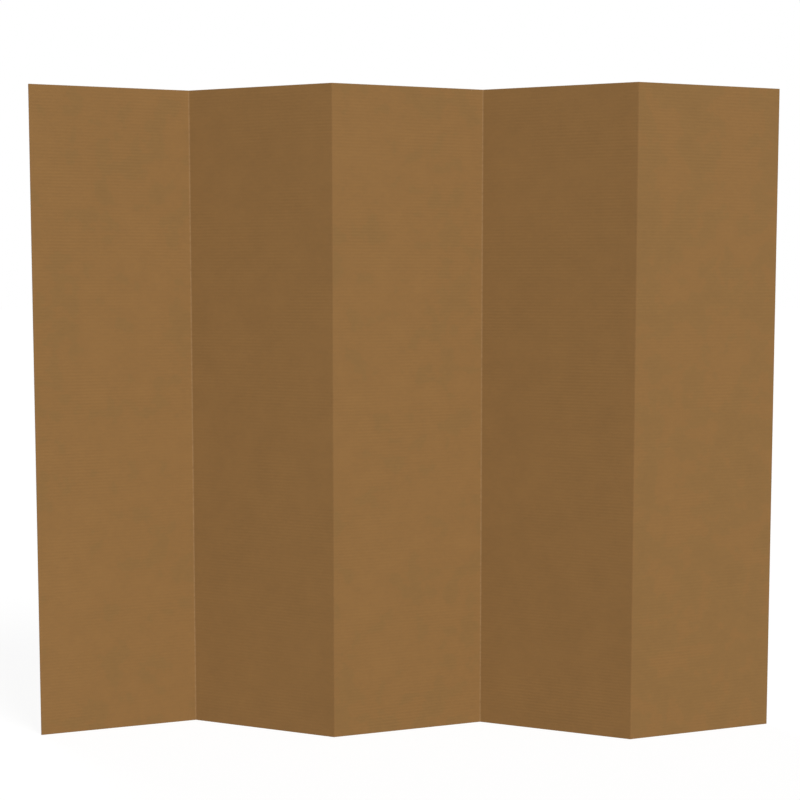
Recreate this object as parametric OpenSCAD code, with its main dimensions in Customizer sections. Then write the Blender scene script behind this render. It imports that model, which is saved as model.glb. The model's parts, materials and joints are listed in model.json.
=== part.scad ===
// Free-standing folding screen of kraft single-wall corrugated board.
//
// One sheet of board is scored from the front and the back in turn, so that
// five panels stand in a zigzag. The flutes lie level, across the screen, so
// the board bends only along its upright score lines.
//
// Frame: X across the screen, Y from front to back, Z up. The origin is on
// the floor, under the middle of the third panel.

/* [Screen] */
// Height of the standing screen
screen_h = 1800; // [900:10:2400]
// Width of one panel, along the board between its two fold axes
panel_w = 437; // [200:1:700]
// Bend of the board at each fold as the screen stands, in degrees from flat
fold_bend = 40.8; // [10:0.2:120]

/* [Board] */
// Thickness of the whole board
board_t = 5; // [3:0.1:8]
// Thickness of each flat facing sheet
liner_t = 0.3; // [0.15:0.05:0.6]
// Thickness of the fluted middle sheet
fluting_t = 0.2; // [0.15:0.05:0.5]
// Distance from one flute to the next
flute_pitch = 8.8; // [6:0.1:14]

/* [Folds] */
// Half the width of the stretch that the score crushes
score_half = 3; // [2:0.1:8]
// Depth of the score's groove below the inner face
groove_depth = 0.4; // [0.2:0.1:1.8]
// Distance of a fold's axis from the inner face, half the gap of closed panels
axis_gap = 0.3; // [0.1:0.05:1]
// Distance of each outer facing's end from its fold, for room when it lies flat
end_gap = 0.15; // [0.05:0.05:0.5]
// Clearance between a fold's plies and the panels' plies beside them
seam = 0.02; // [0.01:0.01:0.1]

/* [Hidden] */
PANELS = 5;
FOLDS = PANELS - 1;
MIDDLE = (PANELS + 1) / 2;

// The arc of a fold is drawn with this many sides to a full turn
$fn = 180;

kraft = [0.565, 0.420, 0.251];
kraft_inside = [0.500, 0.368, 0.222];

half_bend = fold_bend / 2;

// Middle of the board to the axis of a fold
axis_off = board_t / 2 + axis_gap;

// Radii about a fold's axis of the outer facing's two sides
outer_r = board_t + axis_gap;
under_r = outer_r - liner_t;

// The fluting's wave: whole flutes over the height, level crests glued to the facings
flutes = round(screen_h / flute_pitch);
pitch = screen_h / flutes;
crest = pitch / 6;
wave = (board_t - 2 * liner_t - fluting_t) / 2;
slope = atan2(2 * wave, pitch / 2 - crest);
mitre = fluting_t / 2 * tan(slope / 2);

// ---- Where the panels and folds are ----

// Odd panels run away from the front as they go right, and even ones come back
function odd(i) = i % 2 == 1;

// Turn of the board from panel i to panel i + 1, and the fold's axis between them in the frame
// of either panel. It lies before the front face at odd folds and behind the back at even ones.
function turn(i) = odd(i) ? -fold_bend : fold_bend;
function right_axis(i) = [panel_w, odd(i) ? -axis_off : axis_off, 0];
function left_axis(i) = [0, odd(i) ? axis_off : -axis_off, 0];

// A panel's own frame: X along it from its left end, Y to the back from the middle of the board.
// Each panel is hung on the one before it, from the middle of the screen outwards.
module at_panel(i) {
    if (i == MIDDLE) {
        rotate([0, 0, half_bend]) translate([-panel_w / 2, 0, 0]) children();
    } else if (i > MIDDLE) {
        at_panel(i - 1) translate(right_axis(i - 1)) rotate([0, 0, turn(i - 1)])
            translate(-left_axis(i)) children();
    } else {
        at_panel(i + 1) translate(left_axis(i + 1)) rotate([0, 0, -turn(i)])
            translate(-right_axis(i)) children();
    }
}

// The frame of a fold has its axis as Z, and Y points out of the bend
module at_fold(i) {
    outwards = odd(i) ? 0 : 180;
    if (i >= MIDDLE) {
        at_panel(i) translate(right_axis(i)) rotate([0, 0, turn(i) / 2 + outwards]) children();
    } else {
        at_panel(i + 1) translate(left_axis(i + 1)) rotate([0, 0, -turn(i) / 2 + outwards]) children();
    }
}

// ---- Panels ----

// How far a ply stops short of a panel's left and right ends. A facing on the outside
// of a bend runs up to the fold, and the other plies stop where the score begins.
function left_stop(i, outside) = i == 1 ? 0 : outside ? end_gap : score_half;
function right_stop(i, outside) = i == PANELS ? 0 : outside ? end_gap : score_half;

module facing(i, depth, left_outside) {
    left = left_stop(i, left_outside);
    right = right_stop(i, !left_outside);
    at_panel(i) translate([left, depth, 0]) cube([panel_w - left - right, liner_t, screen_h]);
}

// Flat facing sheet on the front of a panel, outside the bend at the left of an odd panel
module panel_front_liner(i) {
    color(kraft) facing(i, -board_t / 2, odd(i));
}

// Flat facing sheet on the back of a panel
module panel_back_liner(i) {
    color(kraft) facing(i, board_t / 2 - liner_t, !odd(i));
}

// One side of the wave, as [height, depth], for side 1 (back) or -1 (front)
function wave_side(side) = concat(
    [[0, -wave + side * fluting_t / 2]],
    [for (k = [0:flutes - 1]) each [
        [k * pitch + crest / 2 - side * mitre, -wave + side * fluting_t / 2],
        [(k + 0.5) * pitch - crest / 2 - side * mitre, wave + side * fluting_t / 2],
        [(k + 0.5) * pitch + crest / 2 + side * mitre, wave + side * fluting_t / 2],
        [(k + 1) * pitch - crest / 2 + side * mitre, -wave + side * fluting_t / 2]
    ]],
    [[screen_h, -wave + side * fluting_t / 2]]
);

function reversed(list) = [for (k = [len(list) - 1:-1:0]) list[k]];

// Fluted middle sheet of a panel, its flutes level
module panel_fluting(i) {
    left = left_stop(i, false);
    right = right_stop(i, false);
    color(kraft_inside) at_panel(i) translate([panel_w - right, 0, 0]) rotate([0, -90, 0])
        linear_extrude(panel_w - left - right) polygon(concat(wave_side(-1), reversed(wave_side(1))));
}

// ---- Folds ----

// How far the plies of a fold reach along each panel from the axis
reach = score_half - seam;

// Point beside a fold on the panel to its right: s along the board, r out from the axis
function beside(s, r) = [s * cos(half_bend) + r * sin(half_bend), r * cos(half_bend) - s * sin(half_bend)];
function mirrored(p) = [-p.x, p.y];

// The groove's lip on the inner face, its bottom, and the slope of its flank
lip = beside(reach, axis_gap);
lip_under = beside(reach, axis_gap + liner_t);
groove_bottom = [0, axis_gap + groove_depth];
flank = atan2(groove_bottom.y - lip.y, lip.x);
groove_under = [0, groove_bottom.y + liner_t / cos(flank)];

// Outer facing bent round the fold's axis
module fold_outer_liner(i) {
    color(kraft) at_fold(i) rotate([0, 0, 90 - half_bend])
        rotate_extrude(angle = fold_bend) translate([under_r, 0]) square([liner_t, screen_h]);
}

// Inner facing pressed in by the score, a shallow groove
module fold_inner_liner(i) {
    color(kraft) at_fold(i) linear_extrude(screen_h)
        polygon([mirrored(lip), groove_bottom, lip, lip_under, groove_under, mirrored(lip_under)]);
}

// Right-hand half of a fold's filling: a stretch under the panel's facing, and half the bend
module crushed_half() {
    past_middle = half_bend + 1;
    rotate([0, 0, -half_bend]) {
        cube([reach, under_r - seam, screen_h]);
        rotate([0, 0, 90]) rotate_extrude(angle = past_middle) square([under_r, screen_h]);
    }
}

// Fluting crushed by the score: it fills the bend between the two facings
module fold_fluting(i) {
    past_lip = groove_under + 2 * (lip_under - groove_under);
    color(kraft_inside) at_fold(i) difference() {
        union() {
            crushed_half();
            mirror([1, 0, 0]) crushed_half();
        }
        translate([0, 0, -1]) linear_extrude(screen_h + 2) polygon([mirrored(past_lip), groove_under, past_lip]);
    }
}

// ---- Nodes ----

for (i = [1:PANELS]) {
    panel_front_liner(i);
    panel_fluting(i);
    panel_back_liner(i);
}
for (i = [1:FOLDS]) {
    fold_outer_liner(i);
    fold_fluting(i);
    fold_inner_liner(i);
}
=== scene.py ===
"""A folding screen of kraft corrugated board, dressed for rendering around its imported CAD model.

One sheet of single-wall board stands in a zigzag of five panels. The flutes lie level, so the board
bends only at its four upright scores. Lengths are in metres.
"""

import json
import math

import bmesh
import bpy
from mathutils import Matrix, Vector, noise


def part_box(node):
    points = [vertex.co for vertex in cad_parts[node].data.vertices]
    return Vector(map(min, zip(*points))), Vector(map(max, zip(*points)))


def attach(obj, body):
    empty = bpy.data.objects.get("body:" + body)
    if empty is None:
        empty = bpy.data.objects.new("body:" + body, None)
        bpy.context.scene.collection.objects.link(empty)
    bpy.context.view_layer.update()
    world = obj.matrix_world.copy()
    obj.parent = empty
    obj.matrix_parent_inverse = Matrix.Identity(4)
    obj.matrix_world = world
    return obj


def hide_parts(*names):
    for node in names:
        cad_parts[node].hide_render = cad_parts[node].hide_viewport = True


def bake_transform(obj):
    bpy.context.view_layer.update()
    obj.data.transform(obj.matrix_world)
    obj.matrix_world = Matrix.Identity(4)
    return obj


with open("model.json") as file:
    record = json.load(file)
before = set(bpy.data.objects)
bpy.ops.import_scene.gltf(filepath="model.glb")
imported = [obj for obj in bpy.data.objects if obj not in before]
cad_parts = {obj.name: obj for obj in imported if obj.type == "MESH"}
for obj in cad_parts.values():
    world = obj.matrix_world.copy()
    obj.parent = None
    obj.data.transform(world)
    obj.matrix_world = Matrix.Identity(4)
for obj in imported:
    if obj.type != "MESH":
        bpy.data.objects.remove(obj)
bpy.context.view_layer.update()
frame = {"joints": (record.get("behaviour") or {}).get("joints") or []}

# ---- Camera ----
# The photograph's own viewpoint: 4 m in front of the screen, a metre and a quarter up, and looking
# slightly down.
lens, sensor = 65.9, 36.0  # in millimetres
viewpoint = (0.0690, -4.0692, 1.2682)
look_down, look_left = math.radians(4.643), math.radians(1.303)
camera = bpy.data.objects.new("camera", bpy.data.cameras.new("camera"))
camera.data.lens, camera.data.sensor_width = lens, sensor
camera.location = viewpoint
camera.rotation_euler = (math.pi / 2 - look_down, 0, look_left)
bpy.context.scene.collection.objects.link(camera)
bpy.context.scene.camera = camera

# ---- The flat facings of the five panels ----
# Each panel has a facing of smooth kraft paper on its front and its back. It is glued to the tips of
# the flutes and sinks a little between them, which gives the board its faint level ribs. The knife
# that cut the board out has pinched it along its edges.
board, facing = 0.005, 0.0003  # thickness of the whole board, and of one facing
score_half = 0.003  # half the width of the stretch that a score crushes
bend_gap = 0.0012  # from the end of a panel's outside facing to where the bend starts
axis_gap = 0.0003  # from the board's inner face to the axis that a fold turns about
axis_off = board / 2 + axis_gap  # from the board's middle to that axis

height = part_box("panel_3_front_liner")[1].z
flutes = 205
pitch = height / flutes

# A fold at its lower limit lies flat, so that limit is also the bend that it stands at. The axes at
# a panel's two ends lie on opposite sides of the board.
fold_at = {joint["name"]: Vector(joint["pos_m"]) for joint in frame["joints"]}
panels = len(fold_at) + 1
half_bend = math.radians(-frame["joints"][0]["range_deg"][0]) / 2
fold_span = (fold_at["fold_3"] - fold_at["fold_2"]).length
panel_w = math.sqrt(fold_span**2 - (2 * axis_off) ** 2)  # along the board, between two axes


def panel_place(i):
    """Panel i's own frame: X along it from its left end, Y to its back from the board's middle."""
    odd = i % 2  # odd panels run away from the front as they go right, and even ones come back
    turned = Matrix.Rotation(half_bend if odd else -half_bend, 4, "Z")
    if i == 1:
        axis, own_axis = fold_at["fold_1"], Vector((panel_w, -axis_off, 0))
    else:
        axis, own_axis = fold_at[f"fold_{i - 1}"], Vector((0, axis_off if odd else -axis_off, 0))
    return Matrix.Translation(axis) @ turned @ Matrix.Translation(-own_axis)


def ends(i, left, right):
    """Where a ply of panel i starts and ends: so far short of a fold, or right at a free end."""
    return (0 if i == 1 else left), (panel_w if i == panels else panel_w - right)


def from_free_end(i, u):
    """How far a point u along panel i is from a free end of the screen, if the panel has one."""
    if i == 1:
        return u
    return panel_w - u if i == panels else math.inf


def near_free_end(i, distances):
    """The places along panel i that are so far from its free end: none, if it hasn't got one."""
    if i == 1:
        return distances
    return [panel_w - d for d in distances] if i == panels else []


rib_depth = 0.00012  # how far the facing sinks between two flutes
rib_steps = 6  # rows of the mesh to one flute
patchiness, patch_size = 1.8, 0.09  # how unevenly the ribs show, and how wide the patches are
pinch, pinch_reach = 0.09, 0.0015  # share of the thickness lost at a cut edge, and how far in
edge_wear = 0.4  # how pale the paper has worn at a cut edge


def levels(steps):
    """Heights of a mesh's rows: so many to a flute, and closer ones at the cut top and bottom."""
    rows = [k * pitch / steps for k in range(flutes * steps + 1)]
    near = [0.25 * pinch_reach, 0.6 * pinch_reach]
    return sorted(rows + near + [height - d for d in near])


def pinched(from_edge):
    """The share of the board's thickness that is left so far from a cut edge."""
    return 1 - pinch * max(0, 1 - from_edge / pinch_reach) ** 2


def rib(z, crest=0):
    """1 where a flute's tip is glued to the facing and -1 midway; crest is the first tip, in flutes."""
    return math.cos(2 * math.pi * (z / pitch - crest))


def unevenness(point, size):
    """A smooth, fixed pseudo-random value from -1 to 1 that changes over the given size."""
    return noise.noise(point / size)


def rib_at(point, side):
    """How far the facing's rib stands at a point of the board's front (side -1) or back (side 1).

    The flutes touch the front facing at the floor and the back one half a flute higher. A rib goes
    from -1 to 1, and beyond in the patches where ribs show more, which differ from front to back.
    """
    patches = unevenness(point + Vector((0, side, 0)), patch_size)
    return rib(point.z, 0 if side < 0 else 0.5) * (1 + patchiness * patches)


def sinks(stands):
    """How far the facing lies below the tips of the flutes where its rib stands so far."""
    return rib_depth * (0.5 - 0.5 * max(-1, min(1, stands)))


crisp = math.radians(50)  # faces that meet at more than this angle keep a crisp edge
hair = 1e-6  # a point this close to the top or the bottom lies on the cut


def ply(name, across, up, place, thickness, olive_below=-1):
    """A sheet of paper as a closed mesh: a grid put in place by place(a, z), then thickened.

    Seen from the grid's side a runs to the right, and the thickness goes behind it. place returns a
    point, how far the rib stands, and the wear and painted light: 1 where the paper is pale, worn at a
    cut edge and worn with a painted highlight in a crease; -1 where it is painted darker as shade
    round the outside of a bend. The sheet is olive where its clouds are darker than olive_below.
    """
    bm = bmesh.new()
    rib_layer, wear_and_painted_light_layer, olive_layer = (
        bm.verts.layers.float.new(layer) for layer in ("rib", "wear_and_painted_light", "olive_below")
    )
    columns, rows = len(across) - 1, len(up) - 1
    bmesh.ops.create_grid(bm, x_segments=columns, y_segments=rows, size=0.5)
    for v in bm.verts:
        a, z = across[round((v.co.x + 0.5) * columns)], up[round((v.co.y + 0.5) * rows)]
        v.co, v[rib_layer], v[wear_and_painted_light_layer] = place(a, z)
        v[olive_layer] = olive_below
    bm.normal_update()
    for v in bmesh.ops.extrude_face_region(bm, geom=bm.faces[:], use_keep_orig=True)["geom"]:
        if isinstance(v, bmesh.types.BMVert):
            z = v.co.z
            v.co -= thickness * v.normal
            if min(z, height - z) < hair:  # the knife cuts every ply level at the top and bottom
                v.co.z = z
    bmesh.ops.recalc_face_normals(bm, faces=bm.faces[:])
    for face in bm.faces:
        face.smooth = True
    for edge in bm.edges:
        edge.smooth = edge.calc_face_angle(0) < crisp
    mesh = bpy.data.meshes.new(name)
    bm.to_mesh(mesh)
    bm.free()
    piece = bpy.data.objects.new(name, mesh)
    bpy.context.scene.collection.objects.link(piece)
    return piece


class Value:
    """A socket of a node tree. Arithmetic on it adds Math nodes to the tree."""

    def __init__(self, nodes, socket):
        self.nodes, self.socket = nodes, socket

    def maths(self, operation, a, b):
        return self.nodes.add("ShaderNodeMath", {"operation": operation}, {0: a, 1: b})

    def __add__(self, other):
        return self.maths("ADD", self, other)

    def __sub__(self, other):
        return self.maths("SUBTRACT", self, other)

    def __rsub__(self, other):
        return self.maths("SUBTRACT", other, self)

    def __mul__(self, other):
        return self.maths("MULTIPLY", self, other)

    def __gt__(self, other):
        return self.maths("GREATER_THAN", self, other)

    __radd__, __rmul__ = __add__, __mul__


class Nodes:
    """The node tree of a material or of the world."""

    def __init__(self, owner):
        owner.use_nodes = True
        self.tree = owner.node_tree

    def put(self, socket, value):
        """Links a value to a socket, or sets the socket to a constant."""
        if isinstance(value, Value):
            self.tree.links.new(value.socket, socket)
        else:
            socket.default_value = value

    def add(self, kind, settings, values, output=0):
        """Adds one node: its settings first, then the values or links of its sockets."""
        node = self.tree.nodes.new(kind)
        for name, value in settings.items():
            setattr(node, name, value)
        for name, value in values.items():
            self.put(node.inputs[name], value)
        return Value(self, node.outputs[output])

    def mix(self, share, a, b):
        """Colour a where share is 0 and colour b where it is 1."""
        return self.add("ShaderNodeMix", {"data_type": "RGBA"}, {0: share, 6: a, 7: b}, output=2)

    def uneven(self, at, scale, detail):
        """Noise about 0, with so many features to a unit of length."""
        values = {"Vector": at, "Scale": scale, "Detail": detail}
        return self.add("ShaderNodeTexNoise", {}, values, output="Fac") - 0.5

    def stretched(self, at, by):
        """Coordinates multiplied by a vector: a pattern grows shorter along its larger numbers."""
        return self.add("ShaderNodeVectorMath", {"operation": "MULTIPLY"}, {0: at, 1: by})

    def ramp(self, value, low, high):
        """0 below low, 1 above high and smooth between them."""
        values = {"Value": value, "From Min": low, "From Max": high}
        return self.add("ShaderNodeMapRange", {"interpolation_type": "SMOOTHSTEP"}, values)

    def attribute(self, name):
        """A value that the mesh carries at its points."""
        return self.add("ShaderNodeAttribute", {"attribute_name": name}, {}, output="Fac")


def kraft_paper(name, reddish, olive, mottle=1.0):
    """Unbleached kraft: reddish brown with olive clouds, pulp and fibres, dark shives, pale flecks."""
    material = bpy.data.materials.new(name)
    nodes = Nodes(material)
    shader = nodes.tree.nodes["Principled BSDF"]
    at = nodes.add("ShaderNodeTexCoord", {}, {}, output="Object")

    # Broad clouds and clouds as wide as a hand in the tone of the web, olive where they are darkest
    broad = nodes.uneven(nodes.stretched(at, (1.0, 1.0, 0.6)), 6.0, 4.0)
    clouds = 0.095 * broad + 0.145 * nodes.uneven(at, 16.0, 3.0)
    turned = nodes.ramp(nodes.attribute("olive_below") - clouds, -0.002, 0.002)
    base = nodes.mix(turned, (*reddish, 1), (*olive, 1))

    # The flocky look of the pulp, and fine fibres: most of them upright, and some level
    formation = nodes.uneven(nodes.stretched(at, (0.4, 0.4, 0.9)), 160.0, 3.0)
    upright = nodes.uneven(nodes.stretched(at, (1500.0, 1500.0, 160.0)), 1.0, 2.0)
    level = nodes.uneven(nodes.stretched(at, (300.0, 300.0, 1600.0)), 1.0, 2.0)
    fibres = upright + 0.6 * level
    tone = 1 + mottle * (clouds + 0.13 * formation + 0.10 * fibres)

    # Paler on the tips of the flutes, partly the paper's tone and partly painted shading of the ribs.
    # Darker where the wear value is below 0, which is painted shade round the outside of the bends
    wear_and_painted_light = nodes.attribute("wear_and_painted_light")
    tone = tone + 0.012 * nodes.attribute("rib") + 0.11 * wear_and_painted_light.maths("MINIMUM", wear_and_painted_light, 0)

    # A few dark shives and pale flecks from the recycled pulp, a millimetre or two across
    cells = {"Vector": nodes.stretched(at, (1.0, 1.0, 0.5)), "Scale": 140.0}
    from_middle = nodes.add("ShaderNodeTexVoronoi", {}, cells, output="Distance")
    lot = nodes.add("ShaderNodeTexVoronoi", {}, cells, output="Color")
    lot = nodes.add("ShaderNodeSeparateColor", {}, {0: lot})
    spot = 1 - nodes.ramp(from_middle, 0.06, 0.10)
    shive, fleck = lot > 0.86, (0.10 - lot) > 0
    tone = tone - 0.16 * spot * shive + 0.10 * spot * fleck

    # Pale in streaks where a cut edge has worn, and along the creases, where it is partly wear and
    # partly a painted highlight, with painted light on the flank of the darker panel
    colour = nodes.add("ShaderNodeVectorMath", {"operation": "SCALE"}, {0: base, "Scale": tone})
    paleness = nodes.ramp(wear_and_painted_light * (1 + 1.6 * formation + 1.6 * fibres), 0.1, 0.9)
    pale = (0.35, 0.205, 0.088, 1)
    nodes.put(shader.inputs["Base Color"], nodes.mix(0.6 * paleness, colour, pale))
    nodes.put(shader.inputs["Roughness"], 0.86 + 0.10 * formation - 0.04 * paleness)
    shader.inputs["Specular IOR Level"].default_value = 0.3

    relief = {"Strength": 0.35, "Distance": 0.00006, "Height": formation + 0.8 * fibres - 0.6 * spot}
    nodes.put(shader.inputs["Normal"], nodes.add("ShaderNodeBump", {}, relief))
    return material


facing_paper = kraft_paper(
    "kraft_facing", reddish=(0.2523, 0.1295, 0.0393), olive=(0.2457, 0.1299, 0.0398)
)
# About a fifth of panels 1 and 3 is olive, and half of panel 5. Nothing else is.
olive_below = {1: -0.0125, 3: -0.0125, 5: 0.004}


def panel_facing(i, front):
    """The facing on one side of panel i, from its left end or fold to its right one."""
    place, side = panel_place(i), (-1 if front else 1)
    # Outside a bend the facing runs almost to it, and inside one it stops at the score.
    outside_left = front == bool(i % 2)
    start, end = ends(i, bend_gap, score_half) if outside_left else ends(i, score_half, bend_gap)
    columns = 10
    shares = [0.5 - 0.5 * math.cos(math.pi * k / columns) for k in range(columns + 1)]
    across = [start + (end - start) * share for share in shares]
    across += near_free_end(i, [0.2 * pinch_reach, 0.5 * pinch_reach, pinch_reach])
    across.sort(reverse=not front)

    def at(u, z):
        stands = rib_at(place @ Vector((u, 0, z)), side)
        from_edge = min(z, height - z, from_free_end(i, u))
        y = side * (board / 2 - sinks(stands)) * pinched(from_edge)
        paleness = edge_wear * max(0, 1 - from_edge / pinch_reach)
        return place @ Vector((u, y, z)), stands, paleness

    face = "front" if front else "back"
    piece = ply(f"{face}_facing_{i}", across, levels(rib_steps), at, facing, olive_below.get(i, -1))
    piece.data.materials.append(facing_paper)
    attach(piece, f"panel_{i}")
    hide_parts(f"panel_{i}_{face}_liner")


for i in range(1, panels + 1):
    panel_facing(i, front=True)
    panel_facing(i, front=False)

# ---- The flutes inside the panels ----
# A thinner, darker paper, pressed into waves between heated rolls and glued between the facings. Its
# cut ends show at both free ends of the screen, and one edge of it shows along the top and bottom.
flute_sheet = 0.0002
wave = board / 2 - facing - flute_sheet / 2  # from the board's middle to the sheet's at a tip
flute_steps = 12  # rows of the mesh to one flute
flute_brown = (0.215, 0.110, 0.041)  # all over, with no olive clouds
flute_paper = kraft_paper("fluting_paper", reddish=flute_brown, olive=flute_brown, mottle=1.4)


def panel_flutes(i):
    """The fluted sheet of panel i: the first tip touches the front facing at the floor."""
    place = panel_place(i)
    start, end = ends(i, score_half, score_half)
    columns = 3
    across = [start + (end - start) * k / columns for k in range(columns + 1)]
    across += near_free_end(i, [pinch_reach])

    def at(u, z):
        y = -flute_sheet / 2 - wave * rib(z)
        y *= pinched(min(z, height - z, from_free_end(i, u)))
        return place @ Vector((u, y, z)), 0, 0

    piece = ply(f"flutes_{i}", sorted(across), levels(flute_steps), at, flute_sheet)
    piece.data.materials.append(flute_paper)
    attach(piece, f"panel_{i}")
    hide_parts(f"panel_{i}_fluting")


for i in range(1, panels + 1):
    panel_flutes(i)

# ---- The folds ----
# A blunt wheel has scored the board inside each bend: it pressed the inner facing into a groove and
# crushed the flutes under it. The outer facing bends round the fold.
outer_r = board + axis_gap  # from a fold's axis to the board's outer face
arc_half = outer_r * half_bend  # half the length of the bend in the outer face


def fold_place(i):
    """Fold i's own frame: Z is the axis that it turns about, and Y points out of the bend."""
    turned = Matrix.Rotation(0 if i % 2 else -math.pi, 4, "Z")
    return Matrix.Translation(fold_at[f"fold_{i}"]) @ turned


def fold_rib(i, z, outside):
    """How far the rib stands at height z on the outside or the inside facing of fold i."""
    side = 1 if outside == bool(i % 2) else -1  # odd folds point out at the back
    return rib_at(fold_at[f"fold_{i}"] + Vector((0, 0, z)), side)


def along_fold(i, z, size, lot):
    """Unevenness along fold i, a different one for each lot."""
    return unevenness(Vector((i, lot, z)), size)


def beside(s, r):
    """A point of the panel to the right of a fold: s along it from the bend, r out from the axis."""
    cos, sin = math.cos(half_bend), math.sin(half_bend)
    return s * cos + r * sin, r * cos - s * sin


def bent_ply(i, part, node, across, steps, at, thickness, material):
    """One ply of fold i, built as the fold stands at rest, in place of its part from the CAD model."""
    place = fold_place(i)

    def placed(a, z):
        x, y, stands, paleness = at(a, z)
        return place @ Vector((x, y, z)), stands, paleness

    piece = ply(f"fold_{i}_{part}", across, levels(steps), placed, thickness)
    piece.data.materials.append(material)
    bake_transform(piece)
    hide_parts(f"fold_{i}_{node}")


def round_outside(a, r):
    """A point a along the outer face from the middle of the fold, and r out from the axis."""
    past_bend = abs(a) - arc_half
    if past_bend > 0:
        x, y = beside(past_bend, r)
    else:
        turn = abs(a) / outer_r
        x, y = r * math.sin(turn), r * math.cos(turn)
    return math.copysign(x, a), y


nick = 0.8  # share by which the ribs print deeper in the middle of the bend


def outer_facing(i):
    """The facing round the outside of fold i: painted darker in the middle of the bend as shade, and
    nicked where the ribs print through.
    """
    reach, columns = arc_half + bend_gap, 16
    across = [reach * (1 - 2 * k / columns) for k in range(columns + 1)]

    def at(a, z):
        mid = max(0, 1 - (a / arc_half) ** 2)
        stands = fold_rib(i, z, outside=True)
        sunk = sinks(stands) * (1 + nick * mid)
        r = axis_off + (board / 2 - sunk) * pinched(min(z, height - z))
        x, y = round_outside(a, r)
        # The last value is painted shade: below 0, it darkens the middle of the bend
        return x, y, stands, -mid * (0.8 + 0.4 * along_fold(i, z, 0.02, lot=0))

    bent_ply(i, "outer_facing", "outer_liner", across, rib_steps, at, facing,
             facing_paper)


crease_at = 0.0001  # from the axis out to the bottom of the score's rounded groove
crease_wander = 0.00008  # how far that bottom strays, up and down the fold
# Painted highlight and painted light: the crease is painted pale, partly as wear, and the flank on the
# darker panel gets more paint to lift its shade.
crease_pale_width, shaded_flank_lift = 0.8, 0.25  # width of the pale band, and how much more the darker panel's flank gets
lip_x, lip_y = beside(score_half, axis_gap)  # where the groove ends on the inner face


def groove(t, dent):
    """A point of the inner face, t from -1 to 1 across the groove, its bottom dented so far.

    The curve is level at its bottom, and at its lips it runs into the slope of the panels.
    """
    s, bottom, lip_slope = abs(t), crease_at + dent, lip_x * -math.tan(half_bend)
    from_bottom, from_lip = (1 + 2 * s) * (1 - s) ** 2, s * s * (3 - 2 * s)
    return t * lip_x, from_bottom * bottom + from_lip * lip_y + s * s * (s - 1) * lip_slope


def inner_facing(i):
    """The facing pressed in by the score of fold i, dented a little more between the flutes.

    Its crease is painted pale, partly as wear and partly as a painted highlight, and more on the flank
    of the darker panel as painted light over that flank's shade.
    """
    columns = 14
    across = [2 * k / columns - 1 for k in range(columns + 1)]

    def at(t, z):
        stands = fold_rib(i, z, outside=False)
        bed = (1 - t * t) ** 2  # 1 at the bottom of the groove and 0 at its lips
        dent = (2 * sinks(stands) - rib_depth) * bed
        dent += crease_wander * along_fold(i, z, 0.012, lot=3)
        x, y = groove(t, dent)
        sunk = sinks(stands) * (1 - bed) + (board / 2) * (1 - pinched(min(z, height - z)))
        x, y = x + sunk * t * math.sin(half_bend), y + sunk * math.cos(half_bend)
        # Painted highlight and painted light: pale across the crease, more on the darker panel's flank
        # to cancel its shade
        crease_wear_and_highlight = math.exp(-((t / crease_pale_width) ** 4)) * (1 - shaded_flank_lift + shaded_flank_lift * math.tanh(3 * t))
        paleness = crease_wear_and_highlight * (0.9 + 0.3 * along_fold(i, z, 0.01, lot=7))
        return x, y, stands * (1 - bed), paleness

    bent_ply(i, "inner_facing", "inner_liner", across, rib_steps, at, facing,
             facing_paper)


crushed_steps = 8  # rows of the mesh to one flute
squash = 2.2  # how flat the crests are pressed in the middle of the fold
paper_gap = 0.00004  # between the pressed facing and the crests that lie on it


def crushed_flutes(i):
    """The fluted sheet through fold i, squashed where the groove has pressed on it.

    With each flute it goes from the inner facing (share 0) to the outer one (share 1) and back.
    """
    first = -1 if i % 2 else 1  # at the floor it touches the front: inside an odd fold
    half_columns, gather = 6, 1.7  # closest in the bend
    across = [
        math.copysign(abs(k / half_columns) ** gather, k)
        for k in range(-half_columns, half_columns + 1)
    ]

    def at(t, z):
        inner_x, inner_y = groove(t, 0)
        inner_y += facing + paper_gap
        outer_x, outer_y = round_outside(t * (arc_half + score_half), outer_r - facing - flute_sheet)
        whole = first * rib(z)
        squashed = math.tanh(squash * whole) / math.tanh(squash)
        share = 0.5 + 0.5 * (squashed + (whole - squashed) * abs(t) ** 3)
        x = inner_x + (outer_x - inner_x) * share
        y = inner_y + (outer_y - inner_y) * share
        y -= (board / 2 - facing) * (2 * share - 1) * (1 - pinched(min(z, height - z)))
        return x, y, 0, 0

    bent_ply(i, "crushed_flutes", "fluting", across, crushed_steps, at, flute_sheet,
             flute_paper)


for i in range(1, panels):
    outer_facing(i)
    inner_facing(i)
    crushed_flutes(i)

# ---- Floor ----
# A plain pale floor, wide enough to reach the horizon. To the camera it is white but keeps the
# screen's soft shadow. In the light that it sends back up it is a mid grey.
floor_reach = 60.0
bm = bmesh.new()
bmesh.ops.create_grid(bm, x_segments=1, y_segments=1, size=floor_reach)
floor = bpy.data.objects.new("floor", bpy.data.meshes.new("floor"))
bm.to_mesh(floor.data)
bm.free()
bpy.context.scene.collection.objects.link(floor)

floor_white = bpy.data.materials.new("floor_white")
floor.data.materials.append(floor_white)
nodes = Nodes(floor_white)
floor_glow, shadow_share = 1.04, 0.15  # brightness of the white, and how much of a shadow shows
floor_pale, floor_grey = (0.9, 0.9, 0.9, 1), (0.47, 0.47, 0.47, 1)


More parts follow.
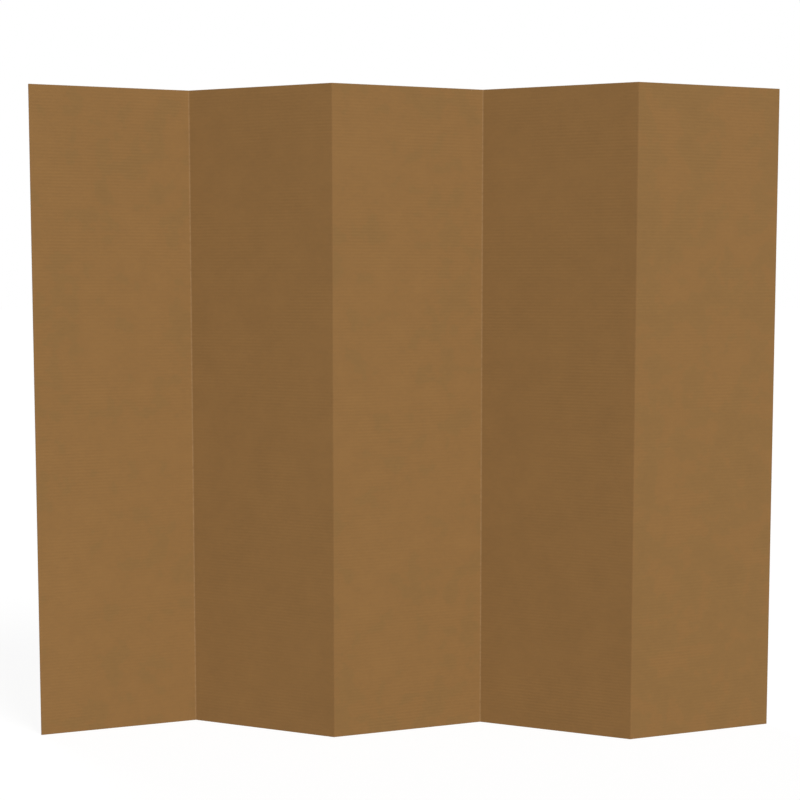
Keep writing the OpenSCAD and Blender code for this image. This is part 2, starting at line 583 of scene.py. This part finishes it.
def seen_directly(nodes):
    """1 for rays from the camera, off a gloss or through glass, which see the background."""
    rays = [
        nodes.add("ShaderNodeLightPath", {}, {}, output=name)
        for name in ("Is Camera Ray", "Is Glossy Ray", "Is Transmission Ray")
    ]
    return rays[0] + rays[1] + rays[2] > 0.5


shaded = nodes.add("ShaderNodeBsdfDiffuse", {}, {"Color": floor_pale})
glow = nodes.add("ShaderNodeEmission", {}, {"Color": (1, 1, 1, 1), "Strength": floor_glow})
white = nodes.add("ShaderNodeMixShader", {}, {0: 1 - shadow_share, 1: shaded, 2: glow})
grey = nodes.add("ShaderNodeBsdfDiffuse", {}, {"Color": floor_grey})
shown = nodes.add("ShaderNodeMixShader", {}, {0: seen_directly(nodes), 1: grey, 2: white})
nodes.put(nodes.tree.nodes["Material Output"].inputs["Surface"], shown)

# ---- Light ----
# An even room light, a broad soft key from the front right, a fill from the front, and one behind
# on the left so that the back isn't flat. Together they light the floor about as strongly as a plain
# room light of 1.
room_light = 0.26


def soft_sun(name, azimuth, elevation, strength, softness):
    """A sun lamp: azimuth from the front towards the right, and how wide its disc is, in degrees."""
    a, e = math.radians(azimuth), math.radians(elevation)
    towards = Vector((math.sin(a) * math.cos(e), -math.cos(a) * math.cos(e), math.sin(e)))
    lamp = bpy.data.objects.new(name, bpy.data.lights.new(name, "SUN"))
    lamp.data.energy, lamp.data.angle = strength, math.radians(softness)
    lamp.rotation_euler = towards.to_track_quat("Z", "Y").to_euler()
    bpy.context.scene.collection.objects.link(lamp)


soft_sun("key", azimuth=40, elevation=45, strength=2.07, softness=24)
soft_sun("fill", azimuth=0, elevation=20, strength=0.94, softness=30)
soft_sun("back", azimuth=215, elevation=15, strength=1.8, softness=30)

world = bpy.data.worlds.new("room")
bpy.context.scene.world = world
nodes = Nodes(world)
background = nodes.tree.nodes["Background"]
nodes.put(background.inputs["Color"], (1, 1, 1, 1))
nodes.put(background.inputs["Strength"], room_light + (1 - room_light) * seen_directly(nodes))

bpy.context.scene.view_settings.view_transform = "Standard"
